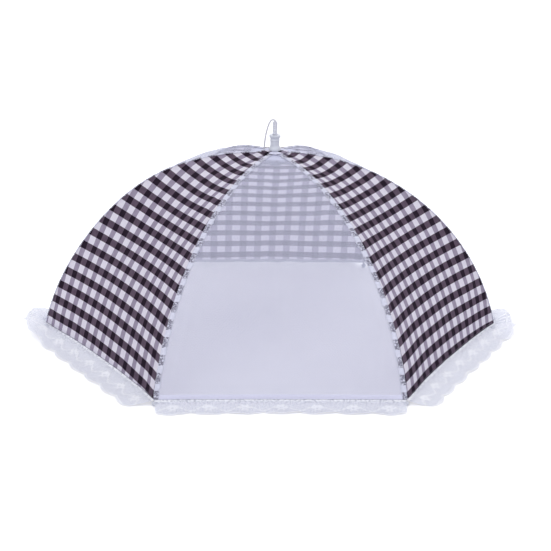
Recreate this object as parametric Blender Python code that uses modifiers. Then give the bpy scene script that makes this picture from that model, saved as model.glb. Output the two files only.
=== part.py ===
"""Mesh food cover umbrella: a folding six-ribbed cover of gingham and white mesh with a lace edge.

Metres, +Z up. The origin is on the table, under the middle of the cover. The front faces -Y.
Six curved wire ribs hinge on a ring in the crown. Six short stretchers hinge on the runner below
it and push the ribs out when the runner's post is drawn up through the collar by its cord.
Each cloth panel is cut along its fold line, so that half of it swings with the rib on its side.
"""

import math

import bmesh
import bpy
from mathutils import Matrix, Vector

# Driving dimensions
RIB_COUNT = 6
TIP_RADIUS = 0.300
TIP_HEIGHT = 0.003
HINGE_RADIUS = 0.009
TOP_SLOPE = math.radians(1)
TIP_SLOPE = math.radians(78)
TOUCH_GAP = 0.0003

# Ribs, their eyes and tip caps
RIB_WIRE_RADIUS = 0.0010
RIB_EYE_RADIUS = 0.0017
RIB_EYE_WIDTH = 0.0024
CLIP_ARC = 0.032
CLIP_LENGTH = 0.0050
RIB_BOSS_RADIUS = 0.0018
RIB_BOSS_DROP = 0.0034
RIB_BOSS_REACH = 0.0017
RIB_BOSS_BACK = 0.0014
TIP_CAP_RADIUS = 0.0033

# Stretchers
STRETCHER_WIRE_RADIUS = 0.0014
STRETCHER_EYE_RADIUS = 0.0016
STRETCHER_EYE_WIDTH = 0.0034
STRETCHER_END_RADIUS = 0.0015
STRETCHER_END_GAP = 0.0005
STRETCHER_END_WIDTH = 0.0028
RIVET_RADIUS = 0.0010
RIVET_HEAD = 0.0006

# Hinge rings
RING_WIRE_RADIUS = 0.0006

# Crown hub, collar and apex patch
HUB_RADIUS = 0.0125
HUB_BELOW_HINGE = 0.0025
HUB_ABOVE_HINGE = 0.0029
HUB_CHAMFER = 0.0008
SPIGOT_RADIUS = 0.0049
SPIGOT_HEIGHT = 0.0080
PATCH_RADIUS = 0.0170
PATCH_THICKNESS = 0.0008
COLLAR_HEIGHT = 0.0205
COLLAR_BASE_RADIUS = 0.0082
COLLAR_WAIST_RADIUS = 0.0063
COLLAR_LIP_RADIUS = 0.0079
COLLAR_BASE_HEIGHT = 0.0025
COLLAR_FLARE_HEIGHT = 0.0040
COLLAR_LIP_HEIGHT = 0.0026
COLLAR_LIP_FLARE = 0.0018

# Runner and its post
RUNNER_RADIUS = 0.0120
RUNNER_BELOW_HINGE = 0.0029
RUNNER_ABOVE_HINGE = 0.0020
POST_RADIUS = 0.0030
POST_CLEARANCE = 0.0004
POST_HEAD_RADIUS = 0.0052
POST_HEAD_HEIGHT = 0.0015
POST_ABOVE_COLLAR = 0.0175
POST_GROOVE_DEPTH = 0.0005
POST_GROOVE_HEIGHT = 0.0020
POST_TOP_ROUND = 0.0010
CORD_HOLE_RADIUS = 0.0014
CORD_HOLE_DEPTH = 0.0060

# Cloth
CLOTH_THICKNESS = 0.0008
SEAM_GAP = 0.0005
TAPE_HALF_WIDTH = 0.00275
CLOTH_START_RADIUS = 0.0155
HEM_HEIGHT = 0.008
PANEL_SAG = 0.0105
SAG_PHASE_SHARE = 0.9

# Lace edge
LACE_THICKNESS = 0.0006
LACE_WIDTH = 0.027
LACE_DROP_FROM_HEM = 0.0010
LACE_EDGE_HEIGHT = 0.0012
LACE_END_GAP = 0.0045
SCALLOPS_PER_PANEL = 5
SCALLOP_DEPTH = 0.0040
SCALLOP_ROUNDNESS = 0.7
LACE_RIPPLE = 0.0006

# Pull cord: shares of the way left and back to its foot, and of the height from the foot to the post's top
CORD_RADIUS = 0.0010
CORD_FOOT_LEFT = 0.0135
CORD_FOOT_BACK = 0.0030
CORD_ROUTE_SHARES = (
    (0.00, 0.90),
    (0.00, 1.00),
    (0.00, 1.03),
    (0.04, 1.06),
    (0.15, 1.08),
    (0.30, 1.07),
    (0.43, 1.02),
    (0.57, 0.92),
    (0.70, 0.78),
    (0.81, 0.62),
    (0.90, 0.45),
    (0.96, 0.27),
    (0.99, 0.12),
    (1.00, 0.00),
)

# Facets
ARC_STEPS = 12
PANEL_ACROSS_STEPS = 3
LACE_ALONG_STEPS = 15
LACE_OUT_STEPS = 2
TURNED_STEPS = 24
EYE_SEGMENTS = 12
RING_STEPS = 30
SHARP_ANGLE = math.radians(35)

CUT_OVERRUN = 0.002
MERGE_DISTANCE = 0.00001

# What follows from the sizes above
HALF_SECTOR = math.pi / RIB_COUNT
BEND_RADIUS = (TIP_RADIUS - HINGE_RADIUS) / (math.sin(TIP_SLOPE) - math.sin(TOP_SLOPE))
HINGE_HEIGHT = TIP_HEIGHT + BEND_RADIUS * (math.cos(TOP_SLOPE) - math.cos(TIP_SLOPE))
RIB_EYE_HOLE = RING_WIRE_RADIUS + TOUCH_GAP
CLOTH_LIFT = RIB_WIRE_RADIUS + SEAM_GAP + CLOTH_THICKNESS / 2
CLIP_SLOPE = TOP_SLOPE + CLIP_ARC / BEND_RADIUS
CLIP_OUT = BEND_RADIUS * (math.sin(CLIP_SLOPE) - math.sin(TOP_SLOPE))
CLIP_DOWN = BEND_RADIUS * (math.cos(TOP_SLOPE) - math.cos(CLIP_SLOPE))
PIVOT_OUT = CLIP_OUT - RIB_BOSS_DROP * math.sin(CLIP_SLOPE)
PIVOT_DOWN = CLIP_DOWN + RIB_BOSS_DROP * math.cos(CLIP_SLOPE)
RUNNER_HEIGHT = HINGE_HEIGHT - 2 * PIVOT_DOWN
PATCH_BOTTOM = HINGE_HEIGHT + HUB_ABOVE_HINGE + TOUCH_GAP
COLLAR_BOTTOM = PATCH_BOTTOM + PATCH_THICKNESS + TOUCH_GAP
COLLAR_TOP = COLLAR_BOTTOM + COLLAR_HEIGHT
POST_TOP = COLLAR_TOP + POST_ABOVE_COLLAR
POST_BORE = POST_RADIUS + POST_CLEARANCE
STRETCHER_OFFSET = RIB_BOSS_REACH + STRETCHER_END_GAP + STRETCHER_END_WIDTH / 2

RIB_PLACES = ("right", "back_right", "back_left", "left", "front_left", "front_right")
PANELS = (
    ("back_right", "mesh"),
    ("back", "gingham"),
    ("back_left", "mesh"),
    ("front_left", "gingham"),
    ("front", "mesh"),
    ("front_right", "gingham"),
)


def clear_scene():
    """Removes what the startup scene holds."""
    for obj in list(bpy.data.objects):
        bpy.data.objects.remove(obj)


def new_collection(name):
    collection = bpy.data.collections.new(name)
    bpy.context.scene.collection.children.link(collection)
    return collection


def new_material(name, colour, roughness, metallic=0):
    material = bpy.data.materials.new(name)
    material.use_nodes = True
    shader = material.node_tree.nodes["Principled BSDF"]
    shader.inputs["Base Color"].default_value = (*colour, 1)
    shader.inputs["Roughness"].default_value = roughness
    shader.inputs["Metallic"].default_value = metallic
    return material


def new_object(name, data, collection, material=None, parent=None):
    obj = bpy.data.objects.new(name, data)
    collection.objects.link(obj)
    if material:
        data.materials.clear()
        data.materials.append(material)
    if parent:
        obj.parent = parent
    return obj


def new_helper(name, mesh, parent=None):
    """A cutter or a piece to be joined: never rendered, and no node."""
    obj = new_object(name, mesh, bpy.data.collections["helpers"], parent=parent)
    obj.hide_render = True
    obj.display_type = "WIRE"
    return obj


def with_boolean(obj, other, operation):
    modifier = obj.modifiers.new(f"{operation.lower()}_{other.name}", "BOOLEAN")
    modifier.operation = operation
    modifier.object = other
    modifier.solver = "EXACT"


def evaluated_mesh(obj, name):
    """The object's mesh as its modifiers or its curve make it."""
    bpy.context.view_layer.update()
    graph = bpy.context.evaluated_depsgraph_get()
    mesh = bpy.data.meshes.new_from_object(obj.evaluated_get(graph))
    mesh.name = name
    return mesh


def smooth(mesh):
    """Shades round faces smooth and keeps the sharper edges."""
    mesh.shade_smooth()
    mesh.set_sharp_from_angle(angle=SHARP_ANGLE)
    return mesh


def cylinder_mesh(name, radius, start, end, segments=EYE_SEGMENTS):
    """A closed cylinder between two points."""
    axis = Vector(end) - Vector(start)
    turn = axis.to_track_quat("Z", "Y").to_matrix().to_4x4()
    place = Matrix.Translation((Vector(start) + Vector(end)) / 2) @ turn
    shape = bmesh.new()
    bmesh.ops.create_cone(
        shape, cap_ends=True, segments=segments, radius1=radius, radius2=radius, depth=axis.length
    )
    bmesh.ops.transform(shape, matrix=place, verts=shape.verts)
    mesh = bpy.data.meshes.new(name)
    shape.to_mesh(mesh)
    shape.free()
    return mesh


def box_mesh(name, low, high):
    """A closed box between two corners."""
    shape = bmesh.new()
    bmesh.ops.create_cube(shape, size=1)
    size = Vector(high) - Vector(low)
    middle = (Vector(high) + Vector(low)) / 2
    place = Matrix.Translation(middle) @ Matrix.Diagonal((*size, 1))
    bmesh.ops.transform(shape, matrix=place, verts=shape.verts)
    mesh = bpy.data.meshes.new(name)
    shape.to_mesh(mesh)
    shape.free()
    return mesh


def profile_mesh(name, points, closed):
    """The outline, in the XZ plane, that a Screw modifier turns."""
    count = len(points)
    edges = [(i, i + 1) for i in range(count - 1)]
    if closed:
        edges.append((count - 1, 0))
    mesh = bpy.data.meshes.new(name)
    mesh.from_pydata([(x, 0, z) for x, z in points], edges, [])
    return mesh


def add_screw(obj, steps=TURNED_STEPS):
    screw = obj.modifiers.new("turned", "SCREW")
    screw.steps = screw.render_steps = steps
    screw.use_merge_vertices = True
    screw.merge_threshold = MERGE_DISTANCE
    screw.use_smooth_shade = False


def wire_mesh(name, points, radius, resolution=1):
    """A closed round wire along points, as a mesh whose caps are welded to its side."""
    curve = bpy.data.curves.new(name, "CURVE")
    curve.dimensions = "3D"
    curve.bevel_depth = radius
    curve.bevel_resolution = resolution
    curve.use_fill_caps = True
    spline = curve.splines.new("POLY")
    spline.points.add(len(points) - 1)
    for place, point in zip(spline.points, points):
        place.co = (*point, 1)
    guide = bpy.data.objects.new(name, curve)
    bpy.context.scene.collection.objects.link(guide)
    mesh = evaluated_mesh(guide, name)
    bpy.data.objects.remove(guide)
    shape = bmesh.new()
    shape.from_mesh(mesh)
    bmesh.ops.remove_doubles(shape, verts=shape.verts, dist=MERGE_DISTANCE)
    shape.to_mesh(mesh)
    shape.free()
    return mesh


def rib_point(slope, lift=0):
    """Distance from the cover's axis and height of the rib's arc where it slopes down by slope.

    A lift moves the point outward, square to the arc.
    """
    across = HINGE_RADIUS + BEND_RADIUS * (math.sin(slope) - math.sin(TOP_SLOPE))
    height = HINGE_HEIGHT - BEND_RADIUS * (math.cos(TOP_SLOPE) - math.cos(slope))
    return across + lift * math.sin(slope), height + lift * math.cos(slope)


def slope_at_radius(radius):
    return math.asin(math.sin(TOP_SLOPE) + (radius - HINGE_RADIUS) / BEND_RADIUS)


def slope_at_height(height):
    return math.acos(math.cos(TOP_SLOPE) - (HINGE_HEIGHT - height) / BEND_RADIUS)


def cloth_slopes():
    """The slopes of the arc at which ribs, tapes and panels all have a row of points."""
    first = slope_at_radius(CLOTH_START_RADIUS)
    last = slope_at_height(HEM_HEIGHT)
    return [first + (last - first) * i / ARC_STEPS for i in range(ARC_STEPS + 1)]


def in_rib_frame(outward, sideways, height):
    """A point given from the cover's axis and the table, as one from the rib's hinge."""
    return Vector((outward - HINGE_RADIUS, sideways, height - HINGE_HEIGHT))


def sag_at(share, from_middle, half_width):
    """How far the cloth hangs inward between two ribs, at a share of the way from top to hem."""
    deepest = PANEL_SAG * math.sin(math.pi * SAG_PHASE_SHARE * share)
    return deepest * (1 - (from_middle / half_width) ** 2)


def panel_point(row, from_middle, side):
    """A point of the panel's middle surface in the frame of the rib on the panel's edge.

    row numbers the slopes from the top, from_middle is the distance from the panel's fold line and
    side is 1 for the panel on the rib's left and -1 for the one on its right.
    """
    slope = cloth_slopes()[row]
    across, height = rib_point(slope, CLOTH_LIFT)
    half_width = across * math.sin(HALF_SECTOR)
    sag = sag_at(row / ARC_STEPS, from_middle, half_width)
    straight = across * math.cos(HALF_SECTOR) - sag * math.sin(slope)
    outward = straight * math.cos(HALF_SECTOR) + from_middle * math.sin(HALF_SECTOR)
    sideways = straight * math.sin(HALF_SECTOR) - from_middle * math.cos(HALF_SECTOR)
    return in_rib_frame(outward, side * sideways, height - sag * math.cos(slope))


def seam_distance(row, from_rib):
    """How far from the fold line a line lies that keeps from_rib to the rib's own plane."""
    across, _ = rib_point(cloth_slopes()[row], CLOTH_LIFT)
    return across * math.sin(HALF_SECTOR) - from_rib / math.cos(HALF_SECTOR)


def grid_mesh(name, columns, rows, place):
    """An open sheet of columns by rows faces, whose corner (column, row) is at place(column, row)."""
    shape = bmesh.new()
    bmesh.ops.create_grid(shape, x_segments=columns, y_segments=rows, size=1)
    for vertex in shape.verts:
        column = round((vertex.co.x + 1) / 2 * columns)
        row = round((vertex.co.y + 1) / 2 * rows)
        vertex.co = place(column, row)
    mesh = bpy.data.meshes.new(name)
    shape.to_mesh(mesh)
    shape.free()
    return mesh


def add_thickness(obj, thickness):
    solidify = obj.modifiers.new("cloth", "SOLIDIFY")
    solidify.thickness = thickness
    solidify.offset = 0
    solidify.use_even_offset = True


def rib_solid():
    """One rib: the bent wire, the eye on the crown's ring and the clip whose boss holds a stretcher."""
    root = (RIB_EYE_RADIUS + RIB_EYE_HOLE) / 2
    points = [Vector((root, 0, -root * math.tan(TOP_SLOPE)))]
    for slope in [*cloth_slopes(), TIP_SLOPE]:
        across, height = rib_point(slope)
        points.append(in_rib_frame(across, 0, height))
    rib = new_helper("rib_blank", wire_mesh("rib_blank", points, RIB_WIRE_RADIUS))
    eye_end = Vector((0, RIB_EYE_WIDTH / 2, 0))
    eye = new_helper("rib_eye", cylinder_mesh("rib_eye", RIB_EYE_RADIUS, -eye_end, eye_end))
    clip_mesh = box_mesh(
        "rib_clip",
        (-CLIP_LENGTH / 2, -RIB_BOSS_BACK, -RIB_BOSS_DROP),
        (CLIP_LENGTH / 2, RIB_BOSS_BACK, 0),
    )
    turn = Matrix.Rotation(CLIP_SLOPE, 4, "Y")
    clip_mesh.transform(Matrix.Translation((CLIP_OUT, 0, -CLIP_DOWN)) @ turn)
    clip = new_helper("rib_clip", clip_mesh)
    pivot = Vector((PIVOT_OUT, 0, -PIVOT_DOWN))
    back = pivot - Vector((0, RIB_BOSS_BACK, 0))
    reach = pivot + Vector((0, RIB_BOSS_REACH, 0))
    boss = new_helper("rib_boss", cylinder_mesh("rib_boss", RIB_BOSS_RADIUS, back, reach))
    hole_end = eye_end + Vector((0, CUT_OVERRUN, 0))
    hole = new_helper("rib_eye_hole", cylinder_mesh("rib_eye_hole", RIB_EYE_HOLE, -hole_end, hole_end))
    for piece in (eye, clip, boss):
        with_boolean(rib, piece, "UNION")
    with_boolean(rib, hole, "DIFFERENCE")
    return smooth(evaluated_mesh(rib, "rib"))


def tip_cap_solid():
    """A bead over the rib's end, flat where it stands on the table."""
    across, height = rib_point(TIP_SLOPE)
    middle = in_rib_frame(across, 0, height)
    along = Vector((-math.cos(TIP_SLOPE), 0, math.sin(TIP_SLOPE)))
    shape = bmesh.new()
    bmesh.ops.create_uvsphere(shape, u_segments=12, v_segments=8, radius=TIP_CAP_RADIUS)
    bmesh.ops.translate(shape, vec=middle, verts=shape.verts)
    flat = bmesh.ops.bisect_plane(
        shape,
        geom=[*shape.verts, *shape.edges, *shape.faces],
        plane_co=(0, 0, -HINGE_HEIGHT),
        plane_no=(0, 0, -1),
        clear_outer=True,
    )
    rim = [piece for piece in flat["geom_cut"] if isinstance(piece, bmesh.types.BMEdge)]
    bmesh.ops.contextual_create(shape, geom=rim)
    bmesh.ops.recalc_face_normals(shape, faces=shape.faces)
    mesh = bpy.data.meshes.new("tip_cap_blank")
    shape.to_mesh(mesh)
    shape.free()
    cap = new_helper("tip_cap_blank", mesh)
    socket = new_helper(
        "tip_cap_socket",
        cylinder_mesh(
            "tip_cap_socket",
            RIB_WIRE_RADIUS + TOUCH_GAP,
            middle - along * TOUCH_GAP,
            middle + along * (TIP_CAP_RADIUS + CUT_OVERRUN),
        ),
    )
    with_boolean(cap, socket, "DIFFERENCE")
    return smooth(evaluated_mesh(cap, "tip_cap"))


def stretcher_solid():
    """One stretcher, from its eye on the runner's ring to the riveted end beside the rib's boss."""
    end_middle = Vector((PIVOT_OUT, STRETCHER_OFFSET, PIVOT_DOWN))
    start = end_middle.normalized() * (STRETCHER_EYE_RADIUS + RIB_EYE_HOLE) / 2
    wire = new_helper(
        "stretcher_blank", wire_mesh("stretcher_blank", [start, end_middle], STRETCHER_WIRE_RADIUS)
    )
    eye_end = Vector((0, STRETCHER_EYE_WIDTH / 2, 0))
    eye = new_helper(
        "stretcher_eye", cylinder_mesh("stretcher_eye", STRETCHER_EYE_RADIUS, -eye_end, eye_end)
    )
    half_end = Vector((0, STRETCHER_END_WIDTH / 2, 0))
    end = new_helper(
        "stretcher_end",
        cylinder_mesh(
            "stretcher_end", STRETCHER_END_RADIUS, end_middle - half_end, end_middle + half_end
        ),
    )
    head = half_end + Vector((0, RIVET_HEAD, 0))
    rivet = new_helper(
        "stretcher_rivet", cylinder_mesh("stretcher_rivet", RIVET_RADIUS, end_middle, end_middle + head)
    )
    hole_end = eye_end + Vector((0, CUT_OVERRUN, 0))
    hole = new_helper(
        "stretcher_hole", cylinder_mesh("stretcher_hole", RIB_EYE_HOLE, -hole_end, hole_end)
    )
    for piece in (eye, end, rivet):
        with_boolean(wire, piece, "UNION")
    with_boolean(wire, hole, "DIFFERENCE")
    return smooth(evaluated_mesh(wire, "stretcher"))


def half_panel(name, side, material, hinge, collection):
    """The half of a panel between the rib's seam tape and the panel's fold line."""

    def place(column, row):
        near = seam_distance(row, TAPE_HALF_WIDTH + TOUCH_GAP)
        far = TOUCH_GAP / 2
        share = column / PANEL_ACROSS_STEPS
        return panel_point(row, near + (far - near) * share, side)

    mesh = smooth(grid_mesh(name, PANEL_ACROSS_STEPS, ARC_STEPS, place))
    panel = new_object(name, mesh, collection, material, hinge)
    add_thickness(panel, CLOTH_THICKNESS)
    return panel


def seam_tape(name, material, hinge, collection):
    """The bound seam over a rib, bent to lie in both of the panels that it joins."""

    def place(column, row):
        side = 1 if column == 0 else -1
        from_rib = 0 if column == 1 else TAPE_HALF_WIDTH
        return panel_point(row, seam_distance(row, from_rib), side)

    mesh = grid_mesh(name, 2, ARC_STEPS, place)
    tape = new_object(name, mesh, collection, material, hinge)
    add_thickness(tape, CLOTH_THICKNESS)
    return tape


def lace_point(along, out, side):
    """A point of the lace, along metres from the panel's fold line and a share out of its width."""
    hem = cloth_slopes()[-1]
    across, _ = rib_point(hem, CLOTH_LIFT)
    half_width = across * math.sin(HALF_SECTOR)
    sag = sag_at(1, along, half_width) * math.sin(hem)
    turn = 2 * math.pi * SCALLOPS_PER_PANEL * along / (2 * half_width)
    lobe = abs(math.cos(turn / 2)) ** SCALLOP_ROUNDNESS
    width = LACE_WIDTH + SCALLOP_DEPTH * (lobe - 1 / 2)
    top = HEM_HEIGHT - LACE_DROP_FROM_HEM
    fall = (top - LACE_EDGE_HEIGHT) * (1 - (1 - out) ** 2)
    ripple = LACE_RIPPLE * out * (1 - math.cos(turn))
    straight = across * math.cos(HALF_SECTOR) - sag + out * width
    outward = straight * math.cos(HALF_SECTOR) + along * math.sin(HALF_SECTOR)
    sideways = straight * math.sin(HALF_SECTOR) - along * math.cos(HALF_SECTOR)
    return in_rib_frame(outward, side * sideways, top - fall + ripple)


def half_lace(name, side, material, hinge, collection):
    """The lace below a half panel: it flares out from the hem and nearly lies on the table."""
    across, _ = rib_point(cloth_slopes()[-1], CLOTH_LIFT)
    near = across * math.sin(HALF_SECTOR) - LACE_END_GAP
    far = TOUCH_GAP / 2

    def place(column, row):
        along = near + (far - near) * column / LACE_ALONG_STEPS
        return lace_point(along, row / LACE_OUT_STEPS, side)

    mesh = smooth(grid_mesh(name, LACE_ALONG_STEPS, LACE_OUT_STEPS, place))
    lace = new_object(name, mesh, collection, material, hinge)
    add_thickness(lace, LACE_THICKNESS)
    return lace


def ring(name, height, material, collection, parent):
    """A hinge ring: a wire bent to a circle, on which eyes turn."""
    bpy.ops.mesh.primitive_torus_add(
        major_segments=RING_STEPS,
        minor_segments=6,
        major_radius=HINGE_RADIUS,
        minor_radius=RING_WIRE_RADIUS,
        location=(0, 0, height),
    )
    made = bpy.context.object
    made.name = made.data.name = name
    for other in list(made.users_collection):
        other.objects.unlink(made)
    collection.objects.link(made)
    made.data.materials.append(material)
    smooth(made.data)
    made.parent = parent
    made.matrix_parent_inverse = parent.matrix_world.inverted()
    return made


def cut_slots(hub, name, low, high, eye_radius, eye_width, groove_low, groove_high):
    """Cuts a slot for each eye and the groove that the ring is snapped into."""
    inner = HINGE_RADIUS - eye_radius - TOUCH_GAP
    half_width = eye_width / 2 + TOUCH_GAP
    outer = HUB_RADIUS + CUT_OVERRUN
    for index in range(RIB_COUNT):
        slot = box_mesh(f"{name}_slot_{index}", (inner, -half_width, low), (outer, half_width, high))
        slot.transform(Matrix.Rotation(2 * HALF_SECTOR * index, 4, "Z"))
        with_boolean(hub, new_helper(f"{name}_slot_{index}", slot, hub.parent), "DIFFERENCE")
    inside = HINGE_RADIUS - RING_WIRE_RADIUS - TOUCH_GAP
    outside = HINGE_RADIUS + RING_WIRE_RADIUS + TOUCH_GAP
    corners = [
        (outside, groove_high),
        (outside, groove_low),
        (inside, groove_low),
        (inside, groove_high),
    ]
    outline = profile_mesh(f"{name}_groove", corners, closed=True)
    groove = new_helper(f"{name}_groove", outline, hub.parent)
    add_screw(groove)
    with_boolean(hub, groove, "DIFFERENCE")


def turned_piece(name, outline, closed, material, collection, parent=None):
    piece = new_object(name, profile_mesh(name, outline, closed), collection, material, parent)
    add_screw(piece)
    return piece


def crown_hub(material, collection):
    """The slotted hub under the cloth, with the spigot that the collar fits over."""
    top = HINGE_HEIGHT + HUB_ABOVE_HINGE
    bottom = HINGE_HEIGHT - HUB_BELOW_HINGE
    outline = [
        (SPIGOT_RADIUS, top + SPIGOT_HEIGHT),
        (SPIGOT_RADIUS, top),
        (HUB_RADIUS - HUB_CHAMFER, top),
        (HUB_RADIUS, top - HUB_CHAMFER),
        (HUB_RADIUS, bottom),
        (POST_BORE, bottom),
        (POST_BORE, top + SPIGOT_HEIGHT),
    ]
    hub = turned_piece("crown_hub", outline, True, material, collection)
    cut_slots(
        hub,
        "crown",
        low=bottom - CUT_OVERRUN,
        high=HINGE_HEIGHT + RIB_EYE_RADIUS + TOUCH_GAP,
        eye_radius=RIB_EYE_RADIUS,
        eye_width=RIB_EYE_WIDTH,
        groove_low=bottom - CUT_OVERRUN,
        groove_high=HINGE_HEIGHT + RING_WIRE_RADIUS + TOUCH_GAP,
    )
    return hub


def apex_patch(material, collection):
    """The round patch that the collar clamps over the tops of the panels."""
    bore = SPIGOT_RADIUS + TOUCH_GAP
    outline = [
        (PATCH_RADIUS, PATCH_BOTTOM + PATCH_THICKNESS),
        (PATCH_RADIUS, PATCH_BOTTOM),
        (bore, PATCH_BOTTOM),
        (bore, PATCH_BOTTOM + PATCH_THICKNESS),
    ]
    return turned_piece("apex_patch", outline, True, material, collection)


def top_collar(material, collection):
    """The collar on top: a waisted tube with a lip, through which the post is drawn up."""
    bore = SPIGOT_RADIUS + TOUCH_GAP
    shoulder = HINGE_HEIGHT + HUB_ABOVE_HINGE + SPIGOT_HEIGHT + TOUCH_GAP
    lip_bottom = COLLAR_TOP - COLLAR_LIP_HEIGHT
    base_top = COLLAR_BOTTOM + COLLAR_BASE_HEIGHT
    outline = [
        (COLLAR_LIP_RADIUS - HUB_CHAMFER, COLLAR_TOP),
        (COLLAR_LIP_RADIUS, COLLAR_TOP - HUB_CHAMFER),
        (COLLAR_LIP_RADIUS, lip_bottom),
        (COLLAR_WAIST_RADIUS, lip_bottom - COLLAR_LIP_FLARE),
        (COLLAR_WAIST_RADIUS, base_top + COLLAR_FLARE_HEIGHT),
        (COLLAR_BASE_RADIUS, base_top),
        (COLLAR_BASE_RADIUS, COLLAR_BOTTOM),
        (bore, COLLAR_BOTTOM),
        (bore, shoulder),
        (POST_BORE, shoulder),
        (POST_BORE, COLLAR_TOP),
    ]
    return turned_piece("top_collar", outline, True, material, collection)


def runner_hub(material, collection, runner):
    """The runner: a slotted disc whose ring carries the six stretchers."""
    bore = POST_RADIUS + TOUCH_GAP
    outline = [
        (RUNNER_RADIUS, RUNNER_ABOVE_HINGE),
        (RUNNER_RADIUS, -RUNNER_BELOW_HINGE + HUB_CHAMFER),
        (RUNNER_RADIUS - HUB_CHAMFER, -RUNNER_BELOW_HINGE),
        (bore, -RUNNER_BELOW_HINGE),
        (bore, RUNNER_ABOVE_HINGE),
    ]
    hub = turned_piece("runner_hub", outline, True, material, collection, runner)
    cut_slots(
        hub,
        "runner",
        low=-STRETCHER_EYE_RADIUS - TOUCH_GAP,
        high=RUNNER_ABOVE_HINGE + CUT_OVERRUN,
        eye_radius=STRETCHER_EYE_RADIUS,
        eye_width=STRETCHER_EYE_WIDTH,
        groove_low=-RING_WIRE_RADIUS - TOUCH_GAP,
        groove_high=RUNNER_ABOVE_HINGE + CUT_OVERRUN,
    )
    return hub


def latch_post(material, collection, runner):
    """The post through the runner: its head is below, and its groove is gripped by the collar's lip."""
    head_top = -RUNNER_BELOW_HINGE - TOUCH_GAP
    head_bottom = head_top - POST_HEAD_HEIGHT
    top = POST_TOP - RUNNER_HEIGHT
    groove_top = COLLAR_TOP - RUNNER_HEIGHT
    groove_bottom = groove_top - POST_GROOVE_HEIGHT
    outline = [
        (CORD_HOLE_RADIUS, top),
        (POST_RADIUS - POST_TOP_ROUND, top),
        (POST_RADIUS, top - POST_TOP_ROUND),
        (POST_RADIUS, groove_top),
        (POST_RADIUS - POST_GROOVE_DEPTH, groove_top - POST_GROOVE_DEPTH),
        (POST_RADIUS - POST_GROOVE_DEPTH, groove_bottom + POST_GROOVE_DEPTH),
        (POST_RADIUS, groove_bottom),
        (POST_RADIUS, head_top),
        (POST_HEAD_RADIUS, head_top),
        (POST_HEAD_RADIUS, head_bottom),
        (0, head_bottom),
    ]
    outline = [(0, top - CORD_HOLE_DEPTH), (CORD_HOLE_RADIUS, top - CORD_HOLE_DEPTH), *outline]
    return turned_piece("latch_post", outline, False, material, collection, runner)


def pull_cord(material, collection):
    """The cord from the post's top over to the patch."""
    foot = PATCH_BOTTOM + PATCH_THICKNESS + TOUCH_GAP
    route = [
        (-CORD_FOOT_LEFT * aside, CORD_FOOT_BACK * aside, foot + (POST_TOP - foot) * up)
        for aside, up in CORD_ROUTE_SHARES
    ]
    return new_object("pull_cord", smooth(wire_mesh("pull_cord", route, CORD_RADIUS)), collection, material)


def hinge_empty(name, azimuth, radius, height, collection, parent=None):
    """An empty on a hinge's axis: its X points away from the cover's axis and its Y along the pin."""
    empty = bpy.data.objects.new(name, None)
    collection.objects.link(empty)
    empty.location = (radius * math.cos(azimuth), radius * math.sin(azimuth), height)
    empty.rotation_euler = (0, 0, azimuth)
    empty.parent = parent
    return empty


def build():
    clear_scene()
    cover = new_collection("mesh_food_cover_umbrella")
    helpers = new_collection("helpers")
    helpers.hide_render = True

    gingham = new_material("gingham", (0.42, 0.38, 0.42), 0.9)
    mesh_cloth = new_material("mesh_cloth", (0.82, 0.83, 0.90), 0.9)
    white_cloth = new_material("white_cloth", (0.86, 0.86, 0.92), 0.85)
    lace = new_material("lace", (0.85, 0.86, 0.92), 0.9)
    steel = new_material("white_coated_wire", (0.80, 0.80, 0.82), 0.4, 0.3)
    plastic = new_material("white_plastic", (0.80, 0.81, 0.84), 0.35)
    cord = new_material("cord", (0.80, 0.81, 0.83), 0.8)
    cloths = {"gingham": gingham, "mesh": mesh_cloth}

    crown_hub(plastic, cover)
    apex_patch(white_cloth, cover)
    top_collar(plastic, cover)
    runner = hinge_empty("runner", 0, 0, RUNNER_HEIGHT, cover)
    runner_hub(plastic, cover, runner)
    latch_post(plastic, cover, runner)
    crown = hinge_empty("crown", 0, 0, HINGE_HEIGHT, cover)
    bpy.context.view_layer.update()
    ring("crown_ring", HINGE_HEIGHT, steel, cover, crown)
    ring("runner_ring", RUNNER_HEIGHT, steel, cover, runner)
    pull_cord(cord, cover)

    rib_mesh = rib_solid()
    cap_mesh = tip_cap_solid()
    stretcher_mesh = stretcher_solid()
    for index, place in enumerate(RIB_PLACES):
        azimuth = 2 * HALF_SECTOR * index
        hinge = hinge_empty(f"rib_hinge_{place}", azimuth, HINGE_RADIUS, HINGE_HEIGHT, cover)
        foot = hinge_empty(f"stretcher_hinge_{place}", azimuth, HINGE_RADIUS, 0, cover, runner)
        new_object(f"rib_{place}", rib_mesh, cover, steel, hinge)
        new_object(f"tip_cap_{place}", cap_mesh, cover, plastic, hinge)
        new_object(f"stretcher_{place}", stretcher_mesh, cover, steel, foot)
        seam_tape(f"seam_tape_{place}", white_cloth, hinge, cover)
        ahead, cloth = PANELS[index]
        half_panel(f"{ahead}_{cloth}_left_half", 1, cloths[cloth], hinge, cover)
        half_lace(f"{ahead}_lace_left_half", 1, lace, hinge, cover)
        behind, cloth = PANELS[index - 1]
        half_panel(f"{behind}_{cloth}_right_half", -1, cloths[cloth], hinge, cover)
        half_lace(f"{behind}_lace_right_half", -1, lace, hinge, cover)


build()
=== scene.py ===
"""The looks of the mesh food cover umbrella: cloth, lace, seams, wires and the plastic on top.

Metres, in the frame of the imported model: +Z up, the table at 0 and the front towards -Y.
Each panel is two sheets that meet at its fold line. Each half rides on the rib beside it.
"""

from math import acos, asin, atan2, cos, exp, pi, radians, sin, sqrt

import bmesh
import bpy
from mathutils import Matrix, Vector, noise

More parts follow.
